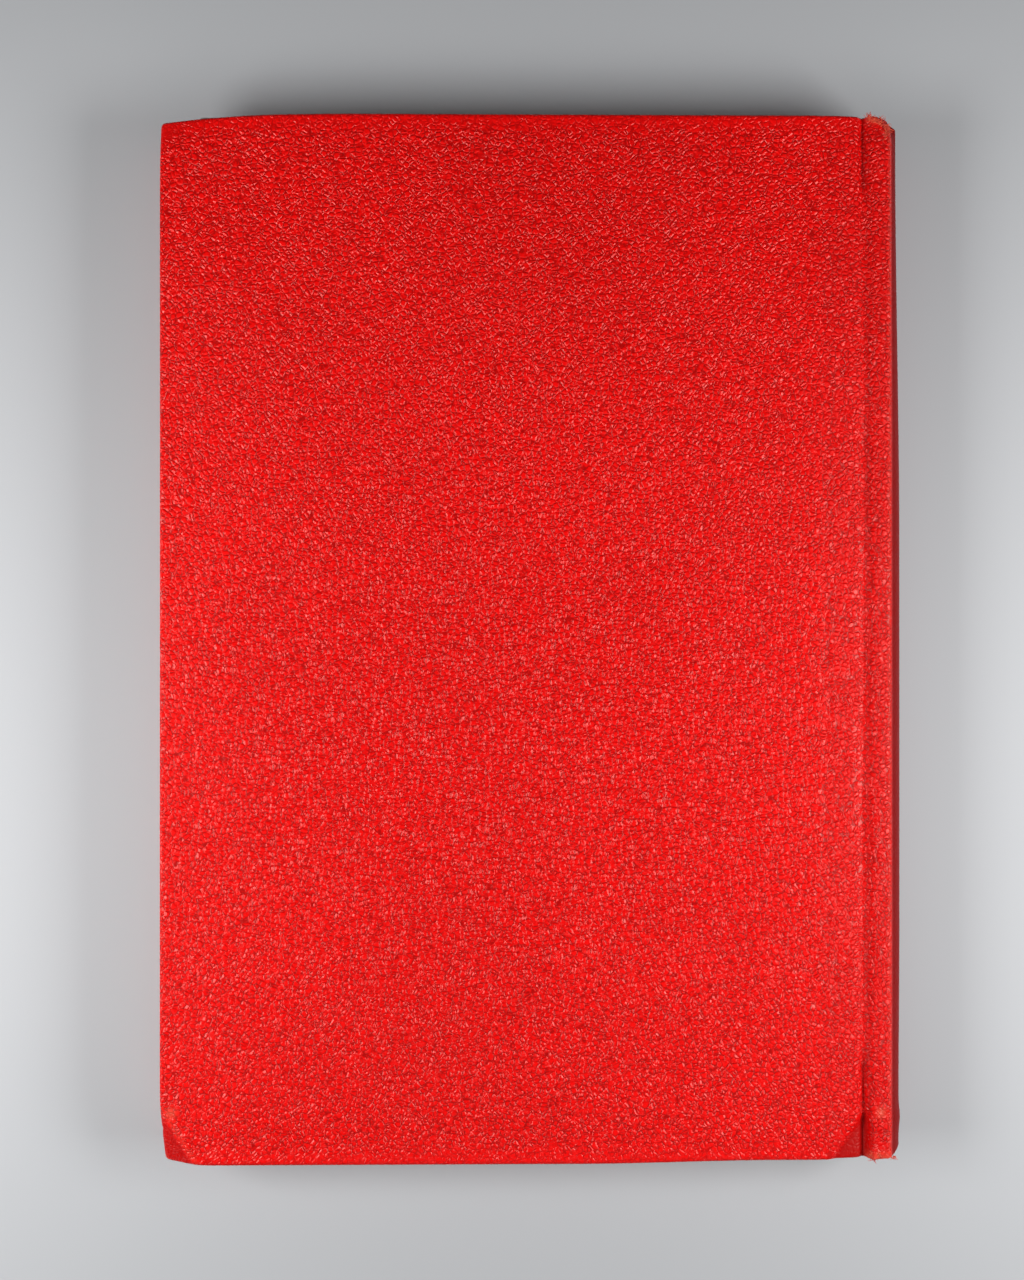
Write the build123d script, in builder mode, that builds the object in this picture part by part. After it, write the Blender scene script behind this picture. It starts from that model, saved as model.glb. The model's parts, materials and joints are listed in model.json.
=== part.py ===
from build123d import *

import os
from math import cos, radians, sin, sqrt

# A case-bound notebook in red grained leather, lying closed on its front cover.
#
# The case is two greyboards and a card spine inlay under one sheet of leather, turned in
# over the edges.  It holds eight sewn sections with a rounded back.  The leather joints
# beside the spine are the hinges that the two covers swing on.
#
# Frame: millimetres, origin at the middle of the footprint on the resting surface.
# +X points from the fore-edge to the spine, +Y to the head, +Z from the front cover to
# the back cover.

# ---- driving dimensions -------------------------------------------------------------
COVER_HEIGHT = 216.0  # head to tail, over the leather
COVER_DEPTH = 154.6  # fore-edge to the fullest part of the spine
PAGE_WIDTH = 147.2
SQUARE = 3.0  # how far the boards stand past the pages
PAGE_HEIGHT = COVER_HEIGHT - 2 * SQUARE

LEATHER = 0.6
BOARD = 2.0
TURN_IN = 0.5  # pared leather folded over the inside of the board
TURN_IN_WIDTH = 15.0
PASTEDOWN = 0.2
FLYLEAF = 0.15

SECTIONS = 8
LEAVES_IN_SECTION = 12
SECTION = 1.0  # thickness of one folded section
FREE_LEAVES = 6  # leaves of the last section that are made one by one
LEAF = 0.075

PASTEDOWN_TO_FLYLEAF = 0.15
FLYLEAF_TO_BLOCK = 0.05

BLOCK = SECTIONS * SECTION
COVER = LEATHER + BOARD + TURN_IN + PASTEDOWN
THICKNESS = BLOCK + 2 * (COVER + PASTEDOWN_TO_FLYLEAF + FLYLEAF + FLYLEAF_TO_BLOCK)
MIDDLE_Z = THICKNESS / 2
MIDDLE_PLANE = Plane.XY.offset(MIDDLE_Z)

# ---- the rounded back: rings about one centre line, from the leather inwards --------
SPINE_LEATHER_R = 7.4
INLAY_R = SPINE_LEATHER_R - LEATHER
INLAY = 0.5
SPINE_TURN_IN = 0.3
LINING_R = 5.92
LINING = 0.18
MULL_R = 5.72
MULL = 0.12
THREAD_R = 5.57
THREAD = 0.14
BLOCK_R = 5.4

SPINE_ANGLE = 57.6  # half of the arc that the leather keeps its round over
INLAY_ANGLE = 50.0
LINING_ANGLE = 45.0
THREAD_ANGLE = 41.0

# ---- places along X -----------------------------------------------------------------
FORE_EDGE_X = -COVER_DEPTH / 2
SPINE_X = COVER_DEPTH / 2 - SPINE_LEATHER_R  # the rings' centre line
SPINE_CENTRE = (SPINE_X, MIDDLE_Z)
BOARD_INNER_X = FORE_EDGE_X + 136.4  # where the board stops and the joint begins
CREASE_X = FORE_EDGE_X + 145.6  # bottom of the pressed groove
RIDGE_ANGLE = 80.0  # where the shoulder's round meets the groove
GROOVE_DEPTH = 1.8
HINGE_X = CREASE_X + 0.3  # the covers turn about the bottom of the groove
LEAF_HINGE_X = CREASE_X - 1.0  # the leaves turn just clear of the pressed groove

# ---- places along Z, for the back cover (the front cover mirrors them) ---------------
TOP_Z = THICKNESS
BOARD_TOP_Z = TOP_Z - LEATHER
BOARD_LOW_Z = BOARD_TOP_Z - BOARD
TURN_IN_LOW_Z = BOARD_LOW_Z - TURN_IN
COVER_LOW_Z = TOP_Z - COVER
BLOCK_TOP_Z = MIDDLE_Z + BLOCK / 2
BLOCK_LOW_Z = MIDDLE_Z - BLOCK / 2
HINGE_Z = COVER_LOW_Z

HALF_COVER = COVER_HEIGHT / 2
HALF_PAGE = PAGE_HEIGHT / 2

# ---- smaller sizes ------------------------------------------------------------------
EDGE_ROUND = 0.5  # leather round the board's arrises
CORNER_ROUND = 1.2  # leather round the board's corners, in plan
FOLD_ROUND = 0.3  # the back fold of a section
GLUE = 0.2  # room between the board and its pastedown, for glue and mull
PASTEDOWN_MARGIN = 2.6  # leather left showing round the pastedown
BUMPED_CORNER = (7.0, 10.5)  # tail corner of the back board, knocked soft
BENT_CORNER = (6.0, 8.0)  # head corner of the back board, gone limp
SOFT_CORNER = (4.0, 4.0)  # corners of the front board
FLYLEAF_ROOT = 1.2  # a turning leaf starts this far from its own hinge line
LEAF_ROOT = 0.8
CUT_CLEARANCE = 1.0  # how far a cutting block stands past what it cuts
LEAF_STEP_GAP = 0.05  # from the leaves' hinge line to the folds that stay put
THREAD_WIDTH = 0.6
THREAD_STATIONS = (-92.0, -60.0, -20.0, 20.0, 60.0, 92.0)
MULL_HALF_HEIGHT = 96.0
LINING_HALF_HEIGHT = 103.0
MULL_FLAP_WIDTH = 26.0
MULL_FLAP = 0.15
MULL_FLAP_GAP = 0.5  # from the turn-ins to the mull
SPINE_TURN_IN_WIDTH = 12.0
CAP_OVERLAP = 0.1
HEADBAND_R = 0.6
HEADBAND_GAP = 0.05  # from the bead to the ends of the pages
HEADBAND_RING_R = BLOCK_R - 0.75
HEADBAND_ANGLE = 38.0


def back_x(z):
    """X of the block's rounded back at height z."""
    return SPINE_X + sqrt(BLOCK_R**2 - (z - MIDDLE_Z) ** 2)


def fore_x(z):
    """X of the hollow fore-edge at height z: every leaf has the same width."""
    return back_x(z) - PAGE_WIDTH


def facing_tail(y):
    """The cross-section plane at y, which extrudes towards the tail."""
    return Plane.XZ.offset(-y)


def ring(radius_in, radius_out, half_angle):
    """Outline of a ring sector about the spine's centre line, for a cross-section."""
    with BuildSketch() as sector:
        with BuildLine():
            outer = CenterArc(SPINE_CENTRE, radius_out, -half_angle, 2 * half_angle)
            inner = CenterArc(SPINE_CENTRE, radius_in, -half_angle, 2 * half_angle)
            Line(outer @ 0, inner @ 0)
            Line(outer @ 1, inner @ 1)
        make_face()
    return sector.sketch


def front_copy(back_piece):
    """The front cover's piece: the back cover's, mirrored in the book's middle."""
    with BuildPart() as front:
        mirror(back_piece.part, about=MIDDLE_PLANE)
    return front


# ---- boards -------------------------------------------------------------------------
def board(corner_tail, corner_head):
    """Greyboard of the back cover, with its two fore-edge corners worn away."""
    length = BOARD_INNER_X - FORE_EDGE_X - LEATHER
    middle = (FORE_EDGE_X + LEATHER + BOARD_INNER_X) / 2
    with BuildPart() as made:
        with BuildSketch(Plane.XY.offset(BOARD_LOW_Z)):
            with Locations((middle, 0)):
                Rectangle(length, COVER_HEIGHT - 2 * LEATHER)
        extrude(amount=BOARD)
        fore = made.edges().filter_by(Axis.Z).group_by(Axis.X)[0].sort_by(Axis.Y)
        chamfer(fore[0], length=corner_tail[1], length2=corner_tail[0])
        fore = made.edges().filter_by(Axis.Z).group_by(Axis.X)[0].sort_by(Axis.Y)
        chamfer(fore[-1], length=corner_head[0], length2=corner_head[1])
    return made


# ---- leather over a board, with its turn-ins ----------------------------------------
def cover_leather():
    """Leather over the outside of the back board, its three edges and the turn-ins."""
    length = BOARD_INNER_X - FORE_EDGE_X
    middle = (FORE_EDGE_X + BOARD_INNER_X) / 2
    with BuildPart() as made:
        with BuildSketch(Plane.XY.offset(TURN_IN_LOW_Z)):
            with Locations((middle, 0)):
                Rectangle(length, COVER_HEIGHT)
        extrude(amount=TOP_Z - TURN_IN_LOW_Z)
        fillet(made.edges().filter_by(Axis.Z).group_by(Axis.X)[0], CORNER_ROUND)
        rims = made.faces().filter_by(Axis.Z).edges()
        joint_side = made.faces().sort_by(Axis.X)[-1].edges()
        fillet([e for e in rims if e not in joint_side], EDGE_ROUND)
        # the board's place, open towards the joint
        with BuildSketch(Plane.XY.offset(BOARD_LOW_Z)):
            with Locations((middle + LEATHER / 2, 0)):
                Rectangle(length - LEATHER, COVER_HEIGHT - 2 * LEATHER)
        extrude(amount=BOARD, mode=Mode.SUBTRACT)
        # inside the turn-ins, where the bare board meets the pastedown
        with BuildSketch(Plane.XY.offset(TURN_IN_LOW_Z)):
            with Locations((middle + TURN_IN_WIDTH / 2, 0)):
                Rectangle(length - TURN_IN_WIDTH, COVER_HEIGHT - 2 * TURN_IN_WIDTH)
        extrude(amount=TURN_IN, mode=Mode.SUBTRACT)
    return made


# ---- leather of the joint, from the board's edge over the groove to the shoulder ----
def joint_leather():
    """The flexible strip that the back cover hinges on: slope, crease and shoulder."""
    sweep_angle = RIDGE_ANGLE - SPINE_ANGLE
    crease_z = TOP_Z - GROOVE_DEPTH
    with BuildPart() as made:
        with BuildSketch(facing_tail(HALF_COVER)):
            with BuildLine():
                over = CenterArc(SPINE_CENTRE, SPINE_LEATHER_R, SPINE_ANGLE, sweep_angle)
                under = CenterArc(SPINE_CENTRE, INLAY_R, SPINE_ANGLE, sweep_angle)
                Polyline(over @ 1, (CREASE_X, crease_z), (BOARD_INNER_X, TOP_Z))
                Line((BOARD_INNER_X, TOP_Z), (BOARD_INNER_X, BOARD_TOP_Z))
                Polyline(
                    (BOARD_INNER_X, BOARD_TOP_Z),
                    (CREASE_X, crease_z - LEATHER),
                    under @ 1,
                )
                Line(over @ 0, under @ 0)
            make_face()
        extrude(amount=COVER_HEIGHT)
    return made


# ---- endpapers ----------------------------------------------------------------------
def pastedown():
    """Paper glued inside the back cover: it steps up over the leather turn-ins."""
    left = FORE_EDGE_X + PASTEDOWN_MARGIN
    length = BOARD_INNER_X - left
    middle = (left + BOARD_INNER_X) / 2
    height = COVER_HEIGHT - 2 * PASTEDOWN_MARGIN
    inset = TURN_IN_WIDTH - PASTEDOWN_MARGIN
    well_length = length - inset
    well_height = height - 2 * inset
    centre_low = BOARD_LOW_Z - GLUE - PASTEDOWN
    with BuildPart() as made:
        with BuildSketch(Plane.XY.offset(COVER_LOW_Z)):
            with Locations((middle, 0)):
                Rectangle(length, height)
            with Locations((middle + inset / 2, 0)):
                Rectangle(well_length, well_height, mode=Mode.SUBTRACT)
        extrude(amount=PASTEDOWN)
        with BuildSketch(Plane.XY.offset(COVER_LOW_Z)):
            with Locations((middle + inset / 2, 0)):
                Rectangle(well_length, well_height)
            with Locations((middle + (inset + PASTEDOWN) / 2, 0)):
                Rectangle(
                    well_length - PASTEDOWN,
                    well_height - 2 * PASTEDOWN,
                    mode=Mode.SUBTRACT,
                )
        extrude(amount=centre_low + PASTEDOWN - COVER_LOW_Z)
        with BuildSketch(Plane.XY.offset(centre_low)):
            with Locations((middle + inset / 2, 0)):
                Rectangle(well_length, well_height)
        extrude(amount=PASTEDOWN)
    return made


def mull_flap():
    """Open-weave mull glued to the board, under the pastedown, beside the joint."""
    with BuildPart() as made:
        with BuildSketch(Plane.XY.offset(BOARD_LOW_Z - MULL_FLAP)):
            with Locations((BOARD_INNER_X - MULL_FLAP_WIDTH / 2, 0)):
                Rectangle(MULL_FLAP_WIDTH, COVER_HEIGHT - 2 * (TURN_IN_WIDTH + MULL_FLAP_GAP))
        extrude(amount=MULL_FLAP)
    return made


def flyleaf():
    """The free half of the back endpaper."""
    low = BLOCK_TOP_Z + FLYLEAF_TO_BLOCK
    left = fore_x(BLOCK_TOP_Z)
    right = LEAF_HINGE_X - FLYLEAF_ROOT
    with BuildPart() as made:
        with BuildSketch(Plane.XY.offset(low)):
            with Locations(((left + right) / 2, 0)):
                Rectangle(right - left, PAGE_HEIGHT)
        extrude(amount=FLYLEAF)
    return made


# ---- the block: folded sections and their free leaves --------------------------------
def slab_profile(low, high):
    """Outline of a stack of leaves from low to high: hollow fore-edge, round back."""
    halfway = (low + high) / 2
    with BuildSketch() as outline:
        with BuildLine():
            ThreePointArc((back_x(low), low), (back_x(halfway), halfway), (back_x(high), high))
            Line((back_x(high), high), (fore_x(high), high))
            ThreePointArc((fore_x(high), high), (fore_x(halfway), halfway), (fore_x(low), low))
            Line((fore_x(low), low), (back_x(low), low))
        make_face()
        fillet(outline.vertices().sort_by(Axis.X)[-2:], FOLD_ROUND)
    return outline.sketch


def section(number):
    """Folded section, counted from the front cover; the last one gives up its free leaves."""
    low = BLOCK_LOW_Z + (number - 1) * SECTION
    high = low + SECTION
    with BuildPart() as made:
        with BuildSketch(facing_tail(HALF_PAGE)):
            add(slab_profile(low, high))
        extrude(amount=PAGE_HEIGHT)
        if number == SECTIONS:
            leaf_room = FREE_LEAVES * SECTION / LEAVES_IN_SECTION
            right = LEAF_HINGE_X + LEAF_STEP_GAP
            with BuildSketch(Plane.XY.offset(high - leaf_room)):
                with Locations((right - PAGE_WIDTH / 2, 0)):
                    Rectangle(PAGE_WIDTH, PAGE_HEIGHT + 2 * CUT_CLEARANCE)
            extrude(amount=leaf_room + CUT_CLEARANCE, mode=Mode.SUBTRACT)
    return made


def free_leaf(number):
    """One leaf of the last section; leaf 1 lies next to the back flyleaf."""
    pitch = SECTION / LEAVES_IN_SECTION
    low = BLOCK_TOP_Z - number * pitch
    left = fore_x(low + LEAF / 2)
    right = LEAF_HINGE_X - LEAF_ROOT
    with BuildPart() as made:
        with BuildSketch(Plane.XY.offset(low)):
            with Locations(((left + right) / 2, 0)):
                Rectangle(right - left, PAGE_HEIGHT)
        extrude(amount=LEAF)
    return made


# ---- what holds the sections together -----------------------------------------------
def spine_band(radius_out, thickness, half_angle, half_height):
    """A thin layer bent round the back of the block."""
    with BuildPart() as made:
        with BuildSketch(facing_tail(half_height)):
            add(ring(radius_out - thickness, radius_out, half_angle))
        extrude(amount=2 * half_height)
    return made


def sewing_thread():
    """Linen thread linking the sections, one run over the back at each station."""
    with BuildPart() as made:
        for station in THREAD_STATIONS:
            with BuildSketch(facing_tail(station + THREAD_WIDTH / 2)):
                add(ring(THREAD_R - THREAD, THREAD_R, THREAD_ANGLE))
            extrude(amount=THREAD_WIDTH)
    return made


def headband(end):
    """Cord bead on the end of the block, bent round its back; end is +1 head, -1 tail."""
    start = radians(HEADBAND_ANGLE)
    plane = Plane(
        origin=(SPINE_X, 0, MIDDLE_Z),
        x_dir=(cos(start), 0, sin(start)),
        z_dir=(-sin(start), 0, cos(start)),
    )
    with BuildPart() as made:
        with BuildSketch(plane):
            with Locations((HEADBAND_RING_R, end * (HALF_PAGE + HEADBAND_R + HEADBAND_GAP))):
                Circle(HEADBAND_R)
        centre_line = Axis((SPINE_X, 0, MIDDLE_Z), (0, 1, 0))
        revolve(axis=centre_line, revolution_arc=2 * HEADBAND_ANGLE)
    return made


def spine_leather():
    """Leather over the round back, turned in over the inlay at head and tail."""
    turn_in_r = INLAY_R - INLAY
    with BuildPart() as made:
        with BuildSketch(facing_tail(HALF_COVER)):
            add(ring(INLAY_R, SPINE_LEATHER_R, SPINE_ANGLE))
        extrude(amount=COVER_HEIGHT)
        for cap_top in (HALF_COVER, LEATHER - HALF_COVER):
            with BuildSketch(facing_tail(cap_top)):
                add(ring(turn_in_r, INLAY_R + CAP_OVERLAP, INLAY_ANGLE))
            extrude(amount=LEATHER)
        for tongue_top in (HALF_COVER, SPINE_TURN_IN_WIDTH - HALF_COVER):
            with BuildSketch(facing_tail(tongue_top)):
                add(ring(turn_in_r - SPINE_TURN_IN, turn_in_r, INLAY_ANGLE))
            extrude(amount=SPINE_TURN_IN_WIDTH)
    return made


# ---- make every piece ---------------------------------------------------------------
pieces = {
    "back_board": board(BUMPED_CORNER, BENT_CORNER),
    "back_cover_leather": cover_leather(),
    "back_joint_leather": joint_leather(),
    "back_pastedown": pastedown(),
    "back_mull_flap": mull_flap(),
    "back_flyleaf": flyleaf(),
    "front_board": front_copy(board(SOFT_CORNER, SOFT_CORNER)),
}
for back_name in ("cover_leather", "joint_leather", "pastedown", "mull_flap", "flyleaf"):
    pieces["front_" + back_name] = front_copy(pieces["back_" + back_name])
for count in range(1, SECTIONS + 1):
    pieces[f"section_{count}"] = section(count)
for count in range(1, FREE_LEAVES + 1):
    pieces[f"leaf_{count}"] = free_leaf(count)
pieces["sewing_thread"] = sewing_thread()
pieces["spine_mull"] = spine_band(MULL_R, MULL, LINING_ANGLE, MULL_HALF_HEIGHT)
pieces["spine_lining"] = spine_band(LINING_R, LINING, LINING_ANGLE, LINING_HALF_HEIGHT)
pieces["spine_inlay"] = spine_band(INLAY_R, INLAY, INLAY_ANGLE, HALF_COVER - LEATHER)
pieces["spine_leather"] = spine_leather()
pieces["headband_head"] = headband(1)
pieces["headband_tail"] = headband(-1)

os.makedirs("parts", exist_ok=True)
for node, piece in pieces.items():
    piece.part.label = node
    export_step(piece.part, f"parts/{node}.step")

print("thickness", round(THICKNESS, 3), "block", BLOCK_LOW_Z, BLOCK_TOP_Z)
print("cover hinges at x", HINGE_X, "z", HINGE_Z, THICKNESS - HINGE_Z)
print("leaf hinges at x", LEAF_HINGE_X)
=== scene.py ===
"""A case-bound notebook in red grained leather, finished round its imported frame.

The leather is one bent sheet for each half of the case.  Everything is in metres, in the
frame's own axes: +X to the spine, +Y to the head, +Z to the back cover.
"""
import json
import math
import random

import bpy
import numpy as np
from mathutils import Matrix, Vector


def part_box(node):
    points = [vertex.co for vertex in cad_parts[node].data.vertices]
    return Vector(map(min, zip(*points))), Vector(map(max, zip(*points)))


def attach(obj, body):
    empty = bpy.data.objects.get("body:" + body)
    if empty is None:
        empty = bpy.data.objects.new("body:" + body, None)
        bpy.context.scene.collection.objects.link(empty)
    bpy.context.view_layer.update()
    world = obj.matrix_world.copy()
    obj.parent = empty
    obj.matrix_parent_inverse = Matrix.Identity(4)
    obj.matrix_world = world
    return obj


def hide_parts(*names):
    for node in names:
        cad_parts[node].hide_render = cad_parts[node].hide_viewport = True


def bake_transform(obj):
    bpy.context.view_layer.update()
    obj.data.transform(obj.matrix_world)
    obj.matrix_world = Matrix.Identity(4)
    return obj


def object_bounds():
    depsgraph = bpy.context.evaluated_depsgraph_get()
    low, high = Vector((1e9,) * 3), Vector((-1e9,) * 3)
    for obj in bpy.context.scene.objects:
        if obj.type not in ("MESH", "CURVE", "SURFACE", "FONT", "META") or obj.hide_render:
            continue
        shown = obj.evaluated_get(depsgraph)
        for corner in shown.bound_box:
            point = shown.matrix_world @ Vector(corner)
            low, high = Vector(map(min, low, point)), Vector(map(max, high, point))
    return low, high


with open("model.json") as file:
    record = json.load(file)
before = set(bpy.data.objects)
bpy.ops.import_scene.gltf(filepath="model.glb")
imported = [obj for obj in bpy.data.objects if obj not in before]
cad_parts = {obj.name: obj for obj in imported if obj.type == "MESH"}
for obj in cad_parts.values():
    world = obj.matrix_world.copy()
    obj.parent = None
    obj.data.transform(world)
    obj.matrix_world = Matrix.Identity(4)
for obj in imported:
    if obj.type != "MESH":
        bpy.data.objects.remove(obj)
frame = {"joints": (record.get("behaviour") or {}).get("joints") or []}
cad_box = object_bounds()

# ---- Camera, lights and table --------------------------------------------------------
# The notebook lies on a plain pale table. The camera looks straight down on it, and two
# soft lights stand close by, left and right, with the book's shadow at its head.
mm = 0.001
book_low, book_high = cad_box
top_z = book_high.z
middle_z = (book_low.z + book_high.z) / 2
scene = bpy.context.scene


def deselect():
    bpy.ops.object.select_all(action="DESELECT")


def aimed(thing, target):
    """Turns a light or the camera so that it looks at the target."""
    direction = Vector(target) - thing.location
    thing.rotation_euler = direction.to_track_quat("-Z", "Y").to_euler()


CAMERA_TILT = math.radians(0.66)
EYE_HEIGHT = 300 * mm
AIM_X = book_low.x + 72.6 * mm
AIM_Y = -0.3 * mm
LENS, FILM_WIDTH = 40.9, 36
eye = (AIM_X - EYE_HEIGHT * math.tan(CAMERA_TILT), AIM_Y, top_z + EYE_HEIGHT)
bpy.ops.object.camera_add(location=eye, rotation=(0, -CAMERA_TILT, 0))
camera = bpy.context.object
camera.name = "camera"
camera.data.lens = LENS
camera.data.sensor_width = FILM_WIDTH
camera.data.dof.use_dof = False
scene.camera = camera
scene.view_settings.view_transform = "Standard"


def soft_light(name, place, size, power, target=(0, 0, 0)):
    deselect()
    bpy.ops.object.light_add(type="AREA", location=place)
    lamp = bpy.context.object
    lamp.name = name
    lamp.data.shape = "RECTANGLE"
    lamp.data.size, lamp.data.size_y = size
    lamp.data.energy = power
    aimed(lamp, target)


SIDE_LIGHT_SIZE, SIDE_LIGHT_POWER = (0.20, 0.12), 0.97
LOW_LIGHT_SIZE, LOW_LIGHT_POWER = (0.50, 0.25), 0.42
ROOM_COLOUR, ROOM_STRENGTH = (0.95, 0.97, 1.0, 1), 0.05
for side in (-1, 1):
    place, target = (side * 0.270, -0.045, 0.210), (side * 0.06, -0.020, 0)
    soft_light(f"side_light_{side}", place, SIDE_LIGHT_SIZE, SIDE_LIGHT_POWER, target)
soft_light("low_light", (0, -0.55, 0.40), LOW_LIGHT_SIZE, LOW_LIGHT_POWER)
world = bpy.data.worlds.new("studio")
scene.world = world
world.use_nodes = True
room = world.node_tree.nodes["Background"]
room.inputs["Color"].default_value = ROOM_COLOUR
room.inputs["Strength"].default_value = ROOM_STRENGTH

TABLE_SIZE = 6.0
TABLE_COLOUR = (0.50, 0.51, 0.525, 1)
deselect()
bpy.ops.mesh.primitive_plane_add(size=TABLE_SIZE, location=(0, 0, 0))
table = bpy.context.object
table.name = "table"


def new_material(name, roughness):
    """A material with its shader; returns the material, its nodes, its links and the shader."""
    made = bpy.data.materials.new(name)
    made.use_nodes = True
    nodes, links = made.node_tree.nodes, made.node_tree.links
    shader = nodes["Principled BSDF"]
    shader.inputs["Roughness"].default_value = roughness
    return made, nodes, links, shader


table_finish, _, _, table_shader = new_material("pale_table", 0.6)
table_shader.inputs["Base Color"].default_value = TABLE_COLOUR
table.data.materials.append(table_finish)

# ---- The leather's finish ------------------------------------------------------------
# Red leather with an embossed pebble grain and a soft waxy shine. The grain is pressed
# flat where hands and shelves have rubbed it. Painted shade darkens the crevices between
# the pebbles, the spine's flank, the joint, its groove and pit and the bent-down corners,
# and the colour is darker at the spine's ends; a painted highlight marks the tail corner's fold.
LEATHER_RED = (0.96, 0.0016, 0.0014, 1)
LEATHER_PALE_DYE = tuple(0.93 * part for part in LEATHER_RED[:3]) + (1,)
# the crevice colour is painted shade, laid in the dark crevices between the pebbles
LEATHER_CREVICE_SHADE = (0.42, 0.0006, 0.0006, 1)
GLOSS_TINT = (1.0, 0.64, 0.58, 1)
LEATHER_DARK = (0.20, 0.0012, 0.0012, 1)
LEATHER_WORN = (0.80, 0.095, 0.055, 1)
LEATHER_ROUGHNESS, DARK_ROUGHER = 0.32, 0.20
LEATHER_GLOSS, DARK_DULLER = 0.5, -0.40
GRAIN_CELL = 0.98 * mm
GRAIN_HEIGHT = 0.17 * mm
GRAIN_WANDER = 1.1 * mm  # how far the pebbles are pushed out of a regular pattern
GRAIN_SWELL = 0.8  # slow unevenness, as a share of a pebble's height


def node_group(name, inputs, outputs):
    """An empty shader node group with float inputs and outputs."""
    group = bpy.data.node_groups.new(name, "ShaderNodeTree")
    for label, value in inputs.items():
        socket = group.interface.new_socket(label, in_out="INPUT", socket_type="NodeSocketFloat")
        socket.default_value = value
    for label, kind in outputs.items():
        group.interface.new_socket(label, in_out="OUTPUT", socket_type=kind)
    return group, group.nodes.new("NodeGroupInput"), group.nodes.new("NodeGroupOutput")


def math_node(tree, operation, *values):
    """A math node fed by sockets or numbers; returns its output socket."""
    node = tree.nodes.new("ShaderNodeMath")
    node.operation = operation
    for slot, value in enumerate(values):
        if isinstance(value, bpy.types.NodeSocket):
            tree.links.new(value, node.inputs[slot])
        else:
            node.inputs[slot].default_value = value
    return node.outputs[0]


def scaled_noise(tree, place, scale, detail=2.0, roughness=0.5):
    node = tree.nodes.new("ShaderNodeTexNoise")
    node.inputs["Scale"].default_value = scale
    node.inputs["Detail"].default_value = detail
    node.inputs["Roughness"].default_value = roughness
    tree.links.new(place, node.inputs["Vector"])
    return node


def ramp(tree, value, low, high):
    """0 below low, 1 above high, smooth between."""
    node = tree.nodes.new("ShaderNodeMapRange")
    node.interpolation_type = "SMOOTHSTEP"
    node.inputs["From Min"].default_value = low
    node.inputs["From Max"].default_value = high
    tree.links.new(value, node.inputs["Value"])
    return node.outputs["Result"]


grain_group, grain_in, grain_out = node_group(
    "pebble_grain",
    {"Cells per metre": 1 / GRAIN_CELL, "Flattening": 0.0},
    {"Height": "NodeSocketFloat", "Crevices": "NodeSocketFloat", "Shade": "NodeSocketFloat"},
)
tree = grain_group
place = tree.nodes.new("ShaderNodeTexCoord").outputs["Object"]
wander = scaled_noise(tree, place, 520, 2.0)
shift = tree.nodes.new("ShaderNodeVectorMath")
shift.operation = "MULTIPLY_ADD"
tree.links.new(wander.outputs["Color"], shift.inputs[0])
shift.inputs[1].default_value = (GRAIN_WANDER,) * 3
tree.links.new(place, shift.inputs[2])
pebble = tree.nodes.new("ShaderNodeTexVoronoi")
pebble.feature = "DISTANCE_TO_EDGE"
tree.links.new(shift.outputs[0], pebble.inputs["Vector"])
tree.links.new(grain_in.outputs["Cells per metre"], pebble.inputs["Scale"])
dome = ramp(tree, pebble.outputs["Distance"], 0.0, 0.30)
# mask for the painted shade in the crevices between the pebbles
crevice_shade_mask = math_node(tree, "SUBTRACT", 1.0, ramp(tree, pebble.outputs["Distance"], 0.01, 0.15))
patchy = ramp(tree, scaled_noise(tree, place, 900, 1.0).outputs["Fac"], 0.30, 0.60)
kept = math_node(tree, "SUBTRACT", 1.0, grain_in.outputs["Flattening"])
swell = math_node(tree, "MULTIPLY_ADD", wander.outputs["Fac"], GRAIN_SWELL, dome)
tree.links.new(math_node(tree, "MULTIPLY", swell, kept), grain_out.inputs["Height"])
lines = math_node(tree, "MULTIPLY", crevice_shade_mask, patchy)
tree.links.new(math_node(tree, "MULTIPLY", lines, kept), grain_out.inputs["Crevices"])
shade = scaled_noise(tree, place, 28, 3.0)
tree.links.new(shade.outputs["Fac"], grain_out.inputs["Shade"])


def mix_colour(tree, factor, first, second):
    node = tree.nodes.new("ShaderNodeMix")
    node.data_type = "RGBA"
    node.clamp_factor = True
    for label, value in (("Factor", factor), ("A", first), ("B", second)):
        socket = next(s for s in node.inputs if s.name == label and s.enabled)
        if isinstance(value, bpy.types.NodeSocket):
            tree.links.new(value, socket)
        else:
            socket.default_value = value
    return next(s for s in node.outputs if s.enabled)


def attribute(tree, name):
    node = tree.nodes.new("ShaderNodeAttribute")
    node.attribute_name = name
    return node.outputs["Fac"]


def add_relief(nodes, links, height, distance, shader):
    relief = nodes.new("ShaderNodeBump")
    relief.inputs["Distance"].default_value = distance
    links.new(height, relief.inputs["Height"])
    links.new(relief.outputs["Normal"], shader.inputs["Normal"])


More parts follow.
